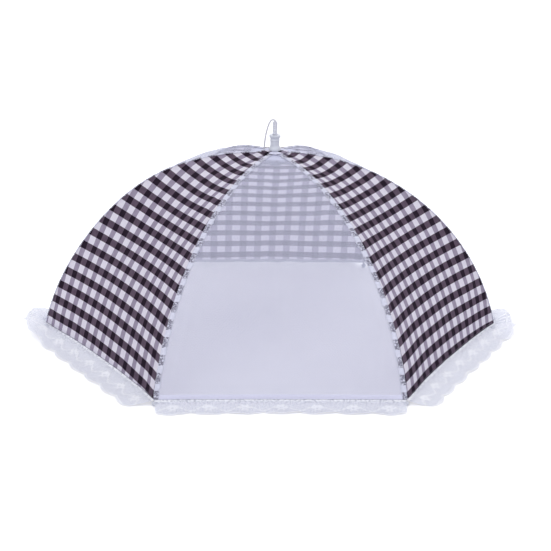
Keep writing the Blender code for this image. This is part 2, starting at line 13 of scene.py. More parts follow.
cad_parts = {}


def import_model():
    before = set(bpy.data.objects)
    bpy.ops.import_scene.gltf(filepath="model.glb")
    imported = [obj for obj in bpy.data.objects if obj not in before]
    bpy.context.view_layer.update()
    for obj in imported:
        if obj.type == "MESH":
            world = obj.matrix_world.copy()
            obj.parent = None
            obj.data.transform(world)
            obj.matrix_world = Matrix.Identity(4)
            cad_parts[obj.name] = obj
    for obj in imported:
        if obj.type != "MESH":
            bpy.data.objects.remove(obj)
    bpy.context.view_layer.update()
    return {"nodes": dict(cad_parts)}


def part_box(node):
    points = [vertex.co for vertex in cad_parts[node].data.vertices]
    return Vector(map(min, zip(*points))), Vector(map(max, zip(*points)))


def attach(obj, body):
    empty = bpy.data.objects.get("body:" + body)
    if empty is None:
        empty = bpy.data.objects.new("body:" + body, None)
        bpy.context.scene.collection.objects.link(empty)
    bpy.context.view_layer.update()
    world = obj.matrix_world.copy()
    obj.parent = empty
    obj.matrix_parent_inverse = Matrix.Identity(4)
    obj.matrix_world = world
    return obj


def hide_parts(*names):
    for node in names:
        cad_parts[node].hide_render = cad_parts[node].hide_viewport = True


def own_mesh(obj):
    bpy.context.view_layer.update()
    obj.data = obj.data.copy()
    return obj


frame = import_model()

MM = 0.001

# The frame's sizes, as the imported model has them
RIB_PLACES = ("right", "back_right", "back_left", "left", "front_left", "front_right")
PANELS = (
    ("back_right", "mesh"),
    ("back", "gingham"),
    ("back_left", "mesh"),
    ("front_left", "gingham"),
    ("front", "mesh"),
    ("front_right", "gingham"),
)
HALF_SECTOR = pi / len(RIB_PLACES)
TIP_RADIUS = 300 * MM
TIP_HEIGHT = 3 * MM
HINGE_RADIUS = 9 * MM
TOP_SLOPE = radians(1)
TIP_SLOPE = radians(78)
BEND_RADIUS = (TIP_RADIUS - HINGE_RADIUS) / (sin(TIP_SLOPE) - sin(TOP_SLOPE))
HINGE_HEIGHT = TIP_HEIGHT + BEND_RADIUS * (cos(TOP_SLOPE) - cos(TIP_SLOPE))
RIB_WIRE_RADIUS = 1.0 * MM
CLOTH_LIFT = 1.9 * MM
CLOTH_START_RADIUS = 15.5 * MM
HEM_HEIGHT = 8 * MM
PANEL_SAG = 10.5 * MM
SAG_PHASE = 0.9
FIRST_SLOPE = asin(sin(TOP_SLOPE) + (CLOTH_START_RADIUS - HINGE_RADIUS) / BEND_RADIUS)
LAST_SLOPE = acos(cos(TOP_SLOPE) - (HINGE_HEIGHT - HEM_HEIGHT) / BEND_RADIUS)
FIRST_ARC = BEND_RADIUS * (FIRST_SLOPE - TOP_SLOPE)
LAST_ARC = BEND_RADIUS * (LAST_SLOPE - TOP_SLOPE)

# Camera, from the hem's corners and the apex in the photograph, whose side is IMAGE_SIDE pixels
IMAGE_SIDE = 551
FOCAL_PIXELS = 1600
AIM_PIXEL = (272.9, 243.4)
AIM_HEIGHT = 120 * MM
CAMERA_DISTANCE = 2.115
CAMERA_ELEVATION = radians(17.65)
CAMERA_AZIMUTH = radians(-2.85)
CAMERA_ROLL = radians(1.1)
SENSOR = 36 * MM
FLOOR_WHITE = 0.30

# Cloth
FOLD_STEPS = 44
ARC_STEPS = 72
CLOTH_THICKNESS = 0.5 * MM
HEM_FOLD = 5 * MM
HEM_STEP = 0.35 * MM
HEM_RISE = 0.6 * MM
NET_PITCH = 1.25 * MM
GATHERED_ARC = 30 * MM

# Gingham: its checks, and for each panel the lean and place of the columns and the tilt and place
# of the rows. The rows bow up in the middle of the panel, and the hem a little less, by these
# values times across squared.
ROW_PITCH = 20.9 * MM
COLUMN_PITCH = 21.6 * MM
ROW_BOW = 0.29
HEM_BOW = 0.15
CHECKS = {
    "back": (0.0, 0.0, 0.0, 0.0),
    "front_left": (-0.092, 26.0 * MM, -0.036, 0.9 * MM),
    "front_right": (0.16, 10.4 * MM, -0.011, 12.8 * MM),
}

# Seams
TAPE_OVER_GINGHAM = 0.9 * MM
TAPE_OVER_MESH = 4.7 * MM
TAPE_THICKNESS = 0.45 * MM
STITCH_PITCH = 3.2 * MM
STITCH_LENGTH = 2.2 * MM
STITCH_RADIUS = 0.16 * MM

# Lace
LACE_WIDTH = 27 * MM
LACE_EDGE_HEIGHT = 1.2 * MM
LACE_END_GAP = 0.4 * MM
LACE_END_SLANT = {"gingham": 13 * MM, "mesh": 2 * MM}
LACE_STEPS_ALONG = 75
LACE_STEPS_OUT = 10
SCALLOPS_PER_PANEL = 7
SCALLOP_DEPTH = 6 * MM
SCALLOP_ROUNDNESS = 0.7
LACE_RIPPLE_HEIGHT = 2.2 * MM
LACE_GATHER_HEIGHT = 0.35 * MM
LACE_GATHER_PITCH = 7.5 * MM
LACE_OVER_GINGHAM = 4.5 * MM
LACE_SEWN_IN = 3.5 * MM

# At the left and the right corner the lace runs on round the hem's corner and stands up a little
FAN_LIFT = {0: 7 * MM, 3: 14 * MM}
FAN_FRONT_RUN = {0: 35 * MM, 3: 75 * MM}
FAN_STEPS = 10
FAN_BACK_LIFT = 20 * MM
FAN_BACK_RUN = 70 * MM

# The cloth stands off the left rib a little, over its shoulder
SLACK_RIB = 3
SEAM_SLACK = 7 * MM
SLACK_MIDDLE_SHARE = 0.36
SLACK_SPREAD_SHARE = 0.24

# The back panels swell a little below the top, where the photograph shows them over the front ones
PANEL_SWELLS = (10 * MM, 5 * MM, 12 * MM, 0, 0, 0)
SWELL_MIDDLE_SHARE = 0.28
SWELL_SPREAD_SHARE = 0.14

# Unevenness of the cloth, and the creases of the folded state: how far each lies from the seam, how
# wide and how deep it is. One more runs along the fold line.
PUCKER_PITCH = 12.5 * MM
PUCKER_HEIGHT = 0.42 * MM
UNEVEN_HEIGHT = 1.8 * MM
TOP_SLACK_HEIGHT = 1.3 * MM
HEM_WAVE_HEIGHT = 0.5 * MM
SEAM_CREASES = ((21 * MM, 4 * MM, 1.1 * MM), (46 * MM, 5 * MM, 0.7 * MM))
FOLD_LINE_CREASE = (5 * MM, 0.8 * MM)

# Rosette, collar, post and cord
HUB_TOP = HINGE_HEIGHT + 2.9 * MM
PATCH_BOTTOM = HUB_TOP + 0.3 * MM
PATCH_THICKNESS = 0.8 * MM
COLLAR_BOTTOM = PATCH_BOTTOM + PATCH_THICKNESS + 0.3 * MM
COLLAR_TOP = COLLAR_BOTTOM + 20.5 * MM
POST_TOP = COLLAR_TOP + 17.5 * MM
ROSETTE_INNER = 5.3 * MM
ROSETTE_OUTER = 17.2 * MM
ROSETTE_BEND = 12.7 * MM
ROSETTE_DROOP = 1.0 * MM
SPIGOT_BORE = 5.2 * MM
SPIGOT_TOP = HUB_TOP + 8.3 * MM
CORD_LAY = 5 * MM
CORD_RADIUS = 1.0 * MM
CORD_FOOT_LEFT = 13.5 * MM
CORD_FOOT_BACK = 3.0 * MM
# Its route: shares of the way aside to its foot and of the way up to the post's top
CORD_ROUTE_SHARES = (
    (0.00, 0.90),
    (0.00, 1.00),
    (0.00, 1.02),
    (0.05, 1.04),
    (0.15, 1.055),
    (0.30, 1.05),
    (0.44, 1.005),
    (0.58, 0.91),
    (0.70, 0.78),
    (0.81, 0.62),
    (0.90, 0.45),
    (0.96, 0.27),
    (0.99, 0.12),
    (1.00, 0.00),
)


class Nodes:
    """A node tree, built one call at a time."""

    def __init__(self, tree):
        self.tree = tree

    def feed(self, socket, value):
        if isinstance(value, bpy.types.NodeSocket):
            self.tree.links.new(value, socket)
        else:
            socket.default_value = value

    def node(self, kind, inputs=(), **settings):
        made = self.tree.nodes.new(kind)
        for name, value in settings.items():
            setattr(made, name, value)
        for name, value in dict(inputs).items():
            self.feed(made.inputs[name], value)
        return made

    def math(self, operation, *values):
        return self.node("ShaderNodeMath", enumerate(values), operation=operation).outputs[0]

    def chain(self, operation, first, *others):
        """An operation on two values, carried on with each of the others."""
        for other in others:
            first = self.math(operation, first, other)
        return first

    def surface(self, output, share, first, second):
        """Gives the tree's output one shader where share is 0 and another where it is 1."""
        inputs = {0: share, 1: first.outputs[0], 2: second.outputs[0]}
        both = self.node("ShaderNodeMixShader", inputs)
        self.feed(self.tree.nodes[output].inputs["Surface"], both.outputs[0])

    def seen_directly(self):
        """1 for what the camera sees, also in gloss and through glass."""
        path = self.node("ShaderNodeLightPath").outputs
        rays = ("Is Camera Ray", "Is Glossy Ray", "Is Transmission Ray")
        return self.chain("MAXIMUM", *(path[ray] for ray in rays))


MATERIALS = {}


class Shader(Nodes):
    """The node tree of a new material, around its Principled shader. MATERIALS keeps the material."""

    def __init__(self, name, colour, roughness, **sockets):
        MATERIALS[name] = bpy.data.materials.new(name)
        MATERIALS[name].use_nodes = True
        super().__init__(MATERIALS[name].node_tree)
        self.main = self.tree.nodes["Principled BSDF"]
        self.set("Base Color", (*colour, 1))
        self.set("Roughness", roughness)
        for socket, value in sockets.items():
            self.set(socket.replace("_", " "), value)

    def set(self, socket, value):
        self.feed(self.main.inputs[socket], value)

    def step(self, value, low, high):
        """0 below low, 1 above high and smooth between."""
        inputs = {"Value": value, "From Min": low, "From Max": high}
        made = self.node("ShaderNodeMapRange", inputs, interpolation_type="SMOOTHSTEP")
        return made.outputs["Result"]

    def mix(self, share, colour_a, colour_b, blend="MIX"):
        inputs = {"Factor": share}
        for index, colour in ((6, colour_a), (7, colour_b)):
            inputs[index] = (*colour, 1) if isinstance(colour, tuple) else colour
        return self.node("ShaderNodeMix", inputs, data_type="RGBA", blend_type=blend).outputs[2]

    def paint(self, share, colour_a, colour_b):
        self.set("Base Color", self.mix(share, colour_a, colour_b))

    def wave(self, operation, place, pitch):
        """A sine or cosine along a coordinate."""
        return self.math(operation, self.math("MULTIPLY", place, 2 * pi / pitch))

    def uv(self):
        """The cloth's own coordinates: metres across and metres along."""
        place = self.node("ShaderNodeUVMap", uv_map="cloth")
        split = self.node("ShaderNodeSeparateXYZ", {"Vector": place.outputs[0]})
        return place.outputs[0], split.outputs[0], split.outputs[1]

    def noise(self, vector, scale, detail=2.0, roughness=0.5):
        inputs = {"Vector": vector, "Scale": scale, "Detail": detail, "Roughness": roughness}
        return self.node("ShaderNodeTexNoise", inputs).outputs[0]

    def object_place(self):
        return self.node("ShaderNodeTexCoord").outputs["Object"]

    def bump(self, height, distance, strength=1.0):
        inputs = {"Height": height, "Distance": distance, "Strength": strength}
        self.set("Normal", self.node("ShaderNodeBump", inputs).outputs[0])


def weave_height(shader, across, along, pitch):
    """A plain weave: at each crossing either the warp or the weft lies on top."""
    return shader.math("MULTIPLY", *(shader.wave("SINE", place, pitch) for place in (across, along)))


def stripe(shader, place, pitch, width_share):
    """1 inside the stripes across a coordinate and 0 between them."""
    wave = shader.math("PINGPONG", place, pitch / 2)
    edge = pitch / 2 * (1 - width_share)
    return shader.step(wave, edge - 0.25 * MM, edge + 0.25 * MM)


def let_light_through(shader, colour, share):
    """Makes the cloth glow a little with the light that falls on its other side."""
    through = shader.node("ShaderNodeBsdfTranslucent", {"Color": colour})
    shader.surface("Material Output", share, shader.main, through)


def gingham_material():
    """Yarn-dyed gingham: dark rows along the hem, greyer columns, and white, with a painted shadow line
    at the hem's edge.
    """
    shader = Shader("gingham", (1.0, 1.0, 1.0), 0.9, Specular_IOR_Level=0.1)
    place, across, along = shader.uv()
    wobble = shader.math("MULTIPLY", shader.noise(place, 240.0), 0.5 * MM)
    rows = stripe(shader, shader.math("ADD", along, wobble), ROW_PITCH, 0.48)
    columns = stripe(shader, shader.math("ADD", across, wobble), COLUMN_PITCH, 0.46)
    cloudy = shader.noise(place, 150.0, 3.0)
    light = shader.mix(cloudy, (0.84, 0.80, 0.94), (0.96, 0.93, 1.0))
    column_over_light = shader.mix(cloudy, (0.33, 0.28, 0.39), (0.47, 0.42, 0.54))
    row_over_light = shader.mix(cloudy, (0.090, 0.060, 0.093), (0.17, 0.125, 0.175))
    both = shader.mix(cloudy, (0.013, 0.007, 0.016), (0.036, 0.022, 0.040))
    between_rows = shader.mix(columns, light, column_over_light)
    in_rows = shader.mix(columns, row_over_light, both)
    cloth = shader.mix(rows, between_rows, in_rows)
    # Painted shadow: a thin dark line along the hem's lower edge stands for the shade in the gap below
    # the hem.
    hem = shader.node("ShaderNodeAttribute", attribute_name="hem_shadow_share").outputs["Fac"]
    cloth = shader.mix(shader.step(hem, 0.2, 0.5), cloth, (0.10, 0.09, 0.14))
    weave = weave_height(shader, across, along, 0.9 * MM)
    shade = shader.math("MULTIPLY_ADD", weave, 0.07, 0.93)
    grey = shader.node("ShaderNodeCombineColor", dict.fromkeys(range(3), shade))
    shaded = shader.mix(1.0, cloth, grey.outputs[0], "MULTIPLY")
    shader.set("Base Color", shaded)
    shader.bump(weave, 0.12 * MM, 0.6)
    let_light_through(shader, shaded, 0.35)


def net_cells(shader, place, pitch):
    """Distance from the middle of the nearest cell of a square net, as a share of the pitch."""
    inputs = {"Vector": place, "Scale": 1 / pitch, "Randomness": 0.0}
    cells = shader.node("ShaderNodeTexVoronoi", inputs, voronoi_dimensions="2D", feature="F1")
    return cells.outputs["Distance"]


def mesh_material():
    """Sheer white net: round holes in fine cloth, drawn close where it is gathered at the top."""
    shader = Shader("mesh_cloth", (0.62, 0.62, 0.79), 0.85, Specular_IOR_Level=0.2)
    place, _, along = shader.uv()
    turned = shader.node("ShaderNodeVectorRotate", {"Vector": place, "Angle": pi / 4})
    cells = net_cells(shader, turned.outputs[0], NET_PITCH)
    thread = shader.step(cells, 0.32, 0.42)
    gathered = shader.step(along, GATHERED_ARC + 8 * MM, GATHERED_ARC - 8 * MM)
    shader.set("Alpha", shader.math("MAXIMUM", thread, gathered))
    cloudy = shader.noise(place, 60.0, 3.0)
    shader.paint(cloudy, (0.53, 0.54, 0.70), (0.62, 0.63, 0.79))
    shader.bump(cells, 0.15 * MM, 0.5)


def hem_material():
    """Doubled white cotton, as in the mesh's hems."""
    shader = Shader("mesh_hem", (0.64, 0.64, 0.80), 0.88, Sheen_Weight=0.15)
    place, across, along = shader.uv()
    shader.paint(shader.noise(place, 400.0, 3.0), (0.64, 0.64, 0.80), (0.74, 0.74, 0.90))
    shader.bump(weave_height(shader, across, along, 0.8 * MM), 0.1 * MM, 0.6)


def tape_material():
    """Thin white tape, with the turned-in gingham showing through beside its dark rows."""
    shader = Shader("seam_tape", (0.70, 0.70, 0.84), 0.88, Sheen_Weight=0.15)
    place, aside, along = shader.uv()
    cloudy = shader.noise(place, 400.0, 3.0)
    cloth = shader.mix(cloudy, (0.46, 0.47, 0.60), (0.80, 0.80, 0.93))
    rows = stripe(shader, along, ROW_PITCH, 0.60)
    blotch = shader.step(shader.noise(place, 520.0, 3.0), 0.38, 0.54)
    beside = shader.step(aside, 5.2 * MM, 3.2 * MM)
    shader.paint(shader.chain("MULTIPLY", rows, blotch, beside, 0.85), cloth, (0.10, 0.09, 0.14))
    shader.bump(cloudy, 0.2 * MM, 0.7)


def lace_flowers(shader, along, out):
    """1 in the petals round the middle of each scallop."""
    beside = shader.math("PINGPONG", along, LOBE_LENGTH / 2)
    up = shader.math("SUBTRACT", out, 15 * MM)
    squares = [shader.math("POWER", part, 2.0) for part in (beside, up)]
    reach = shader.math("SQRT", shader.math("ADD", *squares))
    turn = shader.math("ARCTAN2", up, beside)
    petal = shader.math("COSINE", shader.math("MULTIPLY", turn, 6.0))
    outline = shader.math("MULTIPLY_ADD", petal, 2.2 * MM, 6.0 * MM)
    flower = shader.step(shader.math("SUBTRACT", outline, reach), -0.4 * MM, 0.4 * MM)
    return shader.math("MULTIPLY", flower, shader.step(reach, 1.2 * MM, 1.8 * MM))


def lace_leaves(shader, along, out):
    """1 on the leafy stem that arches between the flowers."""
    swing = shader.wave("COSINE", along, LOBE_LENGTH)
    stem_at = shader.math("MULTIPLY_ADD", swing, -5.0 * MM, 15.5 * MM)
    stem = shader.math("ABSOLUTE", shader.math("SUBTRACT", out, stem_at))
    leafy = shader.wave("SINE", along, 5.2 * MM)
    leaf_width = shader.math("MULTIPLY_ADD", leafy, 0.7 * MM, 1.3 * MM)
    return shader.step(shader.math("SUBTRACT", leaf_width, stem), -0.3 * MM, 0.3 * MM)


def lace_rim(shader, place):
    """1 on the dense edge, around its eyelets."""
    out_share = shader.node("ShaderNodeAttribute", attribute_name="out_share").outputs["Fac"]
    dots = shader.step(net_cells(shader, place, 3.4 * MM), 0.20, 0.30)
    rim = shader.math("MULTIPLY", shader.step(out_share, 0.87, 0.90), dots)
    return shader.math("MAXIMUM", rim, shader.step(out_share, 0.95, 0.965))


def lace_material():
    """Net ground with a flower in each scallop, leaves between them and a row of eyelets, and painted
    shade near the hem.
    """
    shader = Shader("lace", (0.70, 0.72, 0.85), 0.85, Sheen_Weight=0.2)
    place, along, out = shader.uv()
    ground = net_cells(shader, place, 1.6 * MM)
    pattern = (lace_flowers(shader, along, out), lace_leaves(shader, along, out), lace_rim(shader, place))
    dense = shader.chain("MAXIMUM", *pattern, shader.step(out, 3.5 * MM, 2.5 * MM))
    shader.set("Alpha", shader.math("MAXIMUM", shader.step(ground, 0.20, 0.32), dense))
    cloudy = shader.noise(place, 260.0, 4.0, 0.65)
    net = shader.mix(cloudy, (0.56, 0.58, 0.71), (0.88, 0.89, 0.97))
    sewn = shader.mix(cloudy, (0.78, 0.79, 0.89), (0.95, 0.96, 1.0))
    cloth = shader.mix(dense, net, sewn)
    # Painted shade: dark noisy blotches in the lace just below the hem stand for the shadow under the hem
    # seen through the net.
    hem_shadow_blotches = shader.step(shader.noise(place, 300.0, 5.0, 0.75), 0.48, 0.58)
    near_hem = (shader.step(out, 12 * MM, 2 * MM), shader.step(out, -1 * MM, 0.5 * MM))
    shader.paint(shader.chain("MULTIPLY", hem_shadow_blotches, *near_hem, 0.6), cloth, (0.26, 0.27, 0.38))
    raised = shader.math("ADD", dense, shader.math("MULTIPLY", ground, 0.5))
    shader.bump(raised, 0.4 * MM, 0.8)


def thread_material():
    shader = Shader("thread", (0.74, 0.74, 0.86), 0.7)
    fine = shader.noise(shader.object_place(), 4000.0)
    shader.paint(fine, (0.66, 0.66, 0.78), (0.80, 0.80, 0.92))


def wire_material():
    """White dip-coated steel, slightly uneven."""
    shader = Shader("coated_wire", (0.66, 0.66, 0.70), 0.32, Coat_Weight=0.4, Coat_Roughness=0.2)
    place = shader.object_place()
    mottle = shader.noise(place, 120.0, 4.0)
    shader.paint(mottle, (0.60, 0.60, 0.64), (0.72, 0.72, 0.76))
    shader.set("Roughness", shader.math("MULTIPLY_ADD", mottle, 0.2, 0.25))
    shader.bump(shader.noise(place, 900.0, 3.0), 0.05 * MM, 0.5)


def plastic_material(name, colour_a, colour_b, roughness, **sockets):
    """Moulded plastic with faint flow marks and handling marks."""
    shader = Shader(name, colour_a, roughness, **sockets)
    place = shader.object_place()
    cloudy = shader.noise(place, 180.0, 3.0)
    shader.paint(cloudy, colour_a, colour_b)
    scuffs = shader.noise(place, 700.0, 5.0)
    shader.set("Roughness", shader.math("MULTIPLY_ADD", scuffs, 0.25, roughness - 0.08))
    shader.bump(scuffs, 0.03 * MM, 0.5)


def cord_material():
    shader = Shader("cord", (0.60, 0.60, 0.65), 0.75, Sheen_Weight=0.3)
    fibres = shader.noise(shader.object_place(), 2500.0, 4.0)
    shader.paint(fibres, (0.48, 0.48, 0.54), (0.70, 0.70, 0.76))
    shader.bump(fibres, 0.1 * MM, 0.6)


def directions(angle):
    """The level directions outward at an angle round the cover, and counter-clockwise of that."""
    outward = Vector((cos(angle), sin(angle), 0))
    return outward, Vector((-sin(angle), cos(angle), 0))


def rib_azimuth(rib):
    return 2 * HALF_SECTOR * rib


def panel_azimuth(panel):
    return HALF_SECTOR * (2 * panel + 1)


def beside(rib, side):
    """The panel on one side of a rib, its name and cloth, and which of its halves lies there."""
    panel = rib if side > 0 else (rib - 1) % len(PANELS)
    return panel, *PANELS[panel], "left" if side > 0 else "right"


def rib_point(slope, lift=0.0):
    """Distance from the cover's axis and height of the rib's arc where it slopes down by slope."""
    across = HINGE_RADIUS + BEND_RADIUS * (sin(slope) - sin(TOP_SLOPE))
    height = HINGE_HEIGHT - BEND_RADIUS * (cos(TOP_SLOPE) - cos(slope))
    return across + lift * sin(slope), height + lift * cos(slope)


def slope_of(arc):
    return TOP_SLOPE + arc / BEND_RADIUS


def smoothstep(value):
    value = min(max(value, 0.0), 1.0)
    return value * value * (3 - 2 * value)


def hill(away, spread):
    """1 in the middle of a hill, falling to nearly 0 at twice its spread."""
    return exp(-((away / spread) ** 2))


def waver(x, y, z):
    """Smooth noise between -1 and 1, with about one wave to every 2 of each number."""
    return noise.noise(Vector((x, y, z)))


def half_width(slope):
    """Half the straight distance between two ribs' cloth at a slope."""
    return rib_point(slope, CLOTH_LIFT)[0] * sin(HALF_SECTOR)


HEM_HALF = half_width(LAST_SLOPE)
LOBE_LENGTH = 2 * HEM_HALF / SCALLOPS_PER_PANEL


def bowed(panel, arc, share):
    """The arc length of a row at a share of the half width: gingham rows rise in their middle."""
    if PANELS[panel][1] == "mesh":
        return arc
    rise = HEM_BOW * HEM_HALF**2 * (1 - share * share)
    return arc - rise * (arc - FIRST_ARC) / (LAST_ARC - FIRST_ARC)


def cloth_spot(panel, across, arc):
    """Where a point of a panel is in its flat cloth, as the UV map keeps it."""
    name, cloth = PANELS[panel]
    if cloth == "mesh":
        return across, arc
    lean, aside, tilt, down = CHECKS[name]
    return across + lean * arc + aside, arc - ROW_BOW * across**2 + tilt * across + down


def creases(panel, slope, across, half):
    """How far the cloth stands proud: puckers at the seams, creases from storage and unevenness."""
    arc = BEND_RADIUS * (slope - TOP_SLOPE)
    from_seam = half - abs(across)
    side = 7.3 if across > 0 else 2.1
    wander = waver(arc / (24 * MM), side, panel * 3.7)
    pucker = sin(2 * pi * arc / PUCKER_PITCH + 4 * wander)
    pucker *= PUCKER_HEIGHT * exp(-from_seam / (9 * MM)) * smoothstep(from_seam / (2.5 * MM))
    place = across / (55 * MM), arc / (70 * MM), panel * 5.1
    uneven = UNEVEN_HEIGHT * waver(*place) * smoothstep(from_seam / (30 * MM))
    slack = waver(across / (13 * MM), arc / (60 * MM), panel * 2.9)
    near_top = hill(arc - FIRST_ARC, 45 * MM)
    slack *= TOP_SLACK_HEIGHT * near_top * smoothstep(from_seam / (6 * MM))
    hem = HEM_WAVE_HEIGHT * waver(across / (18 * MM), 9.0, panel * 1.3)
    hem *= smoothstep((arc - LAST_ARC + 40 * MM) / (40 * MM)) * smoothstep(from_seam / (10 * MM))
    return pucker + uneven + slack + hem + storage_creases(panel, arc, across, from_seam)


def storage_creases(panel, arc, across, from_seam):
    """Sharp little folds beside the seams and along the fold line, left by the folded state."""
    folds = [(from_seam - back, width, depth) for back, width, depth in SEAM_CREASES]
    folds.append((across, *FOLD_LINE_CREASE))
    total = 0.0
    for index, (away, width, depth) in enumerate(folds):
        side = 3.3 if across > 0 and index < len(SEAM_CREASES) else 8.8
        wander = 7 * MM * waver(arc / (70 * MM), side + index * 5.1, panel * 1.9)
        patches = waver(arc / (80 * MM), side + index * 2.3, panel * 4.1)
        fade = smoothstep(2.2 * patches + 0.6)
        total += depth * fade * hill(away - wander, width)
    return total * smoothstep((arc - 60 * MM) / (60 * MM))


def slope_share(slope):
    """0 where the cloth starts and 1 at the hem."""
    return (slope - FIRST_SLOPE) / (LAST_SLOPE - FIRST_SLOPE)


def seam_slack(panel, slope, across, half):
    """How far the cloth is off the frame: most at the left rib, and fading over its two panels."""
    if (SLACK_RIB - panel) % len(RIB_PLACES) not in (0, 1):
        return Vector((0, 0, 0))
    towards_rib = 1 if panel != SLACK_RIB else -1
    nearness = max(0.0, 0.5 + 0.5 * towards_rib * across / half)
    share = slope_share(slope)
    swell = hill(share - SLACK_MIDDLE_SHARE, SLACK_SPREAD_SHARE)
    swell *= smoothstep(share / 0.12) * smoothstep((1 - share) / 0.3)
    outward, _ = directions(rib_azimuth(SLACK_RIB))
    off = SEAM_SLACK * swell * nearness**1.5
    return off * (outward * sin(slope) + Vector((0, 0, cos(slope))))


def panel_point(panel, slope, across, lift=0.0):
    """A point of a panel: across metres counter-clockwise from its fold line, lift metres proud."""
    reach, height = rib_point(slope, CLOTH_LIFT)
    half = reach * sin(HALF_SECTOR)
    share = slope_share(slope)
    sag = PANEL_SAG * sin(pi * SAG_PHASE * share)
    sag -= PANEL_SWELLS[panel] * hill(share - SWELL_MIDDLE_SHARE, SWELL_SPREAD_SHARE)
    sag *= 1 - (across / half) ** 2
    proud = creases(panel, slope, across, half) + lift - sag
    straight = reach * cos(HALF_SECTOR) + proud * sin(slope)
    outward, sideways = directions(panel_azimuth(panel))
    point = outward * straight + sideways * across + Vector((0, 0, height + proud * cos(slope)))
    return point + seam_slack(panel, slope, across, half)


def mesh_of(shape, name, solid=False):
    """The shape as a mesh. The faces of a solid are turned to its outside."""
    if solid:
        bmesh.ops.recalc_face_normals(shape, faces=shape.faces)
    mesh = bpy.data.meshes.new(name)
    shape.to_mesh(mesh)
    shape.free()
    return mesh


def smooth_but_for(mesh, degrees):
    """Smooth shading, apart from edges sharper than an angle."""
    mesh.shade_smooth()
    mesh.set_sharp_from_angle(angle=radians(degrees))


def grid(name, columns, rows, place):
    """A sheet of columns by rows faces, whose corner (column, row) is at place(column, row).

    place gives a point and its place in the flat cloth, which the UV map "cloth" keeps.
    """
    sheet = bmesh.new()
    layer = sheet.loops.layers.uv.new("cloth")
    flat = {}
    corners = []
    for row in range(rows + 1):
        line = []
        for column in range(columns + 1):
            point, spot = place(column, row)
            corner = sheet.verts.new(point)
            flat[corner] = spot
            line.append(corner)
        corners.append(line)
    for row in range(rows):
        for column in range(columns):
            low, high = corners[row], corners[row + 1]
            face = sheet.faces.new((low[column], low[column + 1], high[column + 1], high[column]))
            face.smooth = True
            for loop in face.loops:
                loop[layer].uv = flat[loop.vert]
    return mesh_of(sheet, name)


def linked(name, data):
    """A new object in the scene."""
    made = bpy.data.objects.new(name, data)
    bpy.context.scene.collection.objects.link(made)
    return made


def piece(name, mesh, body, replaced, finishes):
    """An object that rides on a body, takes its finish from a slot and stands for CAD nodes."""
    made = linked(name, mesh)
    for finish in finishes:
        mesh.materials.append(MATERIALS[finish])
    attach(made, body)
    if replaced:
        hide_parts(*replaced)
    return made


def rib_piece(name, mesh, rib, replaced, finishes):
    """A piece that swings with a rib."""
    return piece(name, mesh, f"{RIB_PLACES[rib]}_rib", replaced, finishes)


def sheet_area(mesh):
    return sum(polygon.area for polygon in mesh.polygons)


def thicken(made, thickness):
    solidify = made.modifiers.new("cloth", "SOLIDIFY")
    solidify.thickness = thickness
    solidify.offset = 0


def facing_out(mesh, rib):
    """Turns the sheet's faces to the outside of the cover."""
    away = directions(rib_azimuth(rib))[0] + Vector((0, 0, 1))
    total = sum((polygon.normal * polygon.area for polygon in mesh.polygons), Vector())
    if total.dot(away) < 0:
        mesh.flip_normals()


def fold_in(made):
    """Gives a soft piece a mesh of its own."""
    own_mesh(made)


def panel_rows():
    """Arc lengths of the rows, closer together at the fold of the hem."""
    plain_end = LAST_ARC - HEM_FOLD - HEM_RISE
    rows = [FIRST_ARC + (plain_end - FIRST_ARC) * i / ARC_STEPS for i in range(ARC_STEPS + 1)]
    fold = (HEM_FOLD, 0.75 * HEM_FOLD, 0.4 * HEM_FOLD, 0.8 * MM, 0.0)
    return rows + [LAST_ARC - back for back in fold]


def half_panel(rib, side):
    """The half of a panel on one side of a rib, from the rib's own plane to the panel's fold line."""
    panel, name, cloth, half = beside(rib, side)
    rows = panel_rows()

    def place(column, row):
        share = 1 - column / FOLD_STEPS
        arc = bowed(panel, rows[row], share)
        slope = slope_of(arc)
        across = -side * half_width(slope) * share
        lift = HEM_STEP * smoothstep((rows[row] - LAST_ARC + HEM_FOLD + HEM_RISE) / HEM_RISE)
        return panel_point(panel, slope, across, lift), cloth_spot(panel, across, arc)

    mesh = grid(f"cloth_{name}_{half}", FOLD_STEPS, len(rows) - 1, place)
    facing_out(mesh, rib)
    # The last row of corners carries the gingham's painted shadow line along the hem.
    hem_shadow_share = mesh.attributes.new("hem_shadow_share", "FLOAT", "POINT")
    for point in hem_shadow_share.data[-FOLD_STEPS - 1 :]:
        point.value = 1.0
    finishes = ["mesh_cloth" if cloth == "mesh" else "gingham", "mesh_hem"]
    replaced = [f"{name}_{cloth}_{half}_half"]
    made = rib_piece(f"cloth_{name}_{half}", mesh, rib, replaced, finishes)
    if cloth == "mesh":
        for polygon in mesh.polygons[ARC_STEPS * FOLD_STEPS :]:
            polygon.material_index = 1
    flat = (half_width(LAST_SLOPE), LAST_ARC - FIRST_ARC)
    area = sheet_area(mesh)
    fold_in(made)
    return made, flat, area


def seam_point(rib, side, slope, from_rib, lift):
    """A point on the cloth at a distance from the rib's own plane."""
    across = half_width(slope) - from_rib / cos(HALF_SECTOR)
    return panel_point(beside(rib, side)[0], slope, -side * across, lift)


def mesh_side(rib):
    """1 where the mesh panel is counter-clockwise of the rib and -1 where it is clockwise."""
    return 1 if PANELS[rib][1] == "mesh" else -1


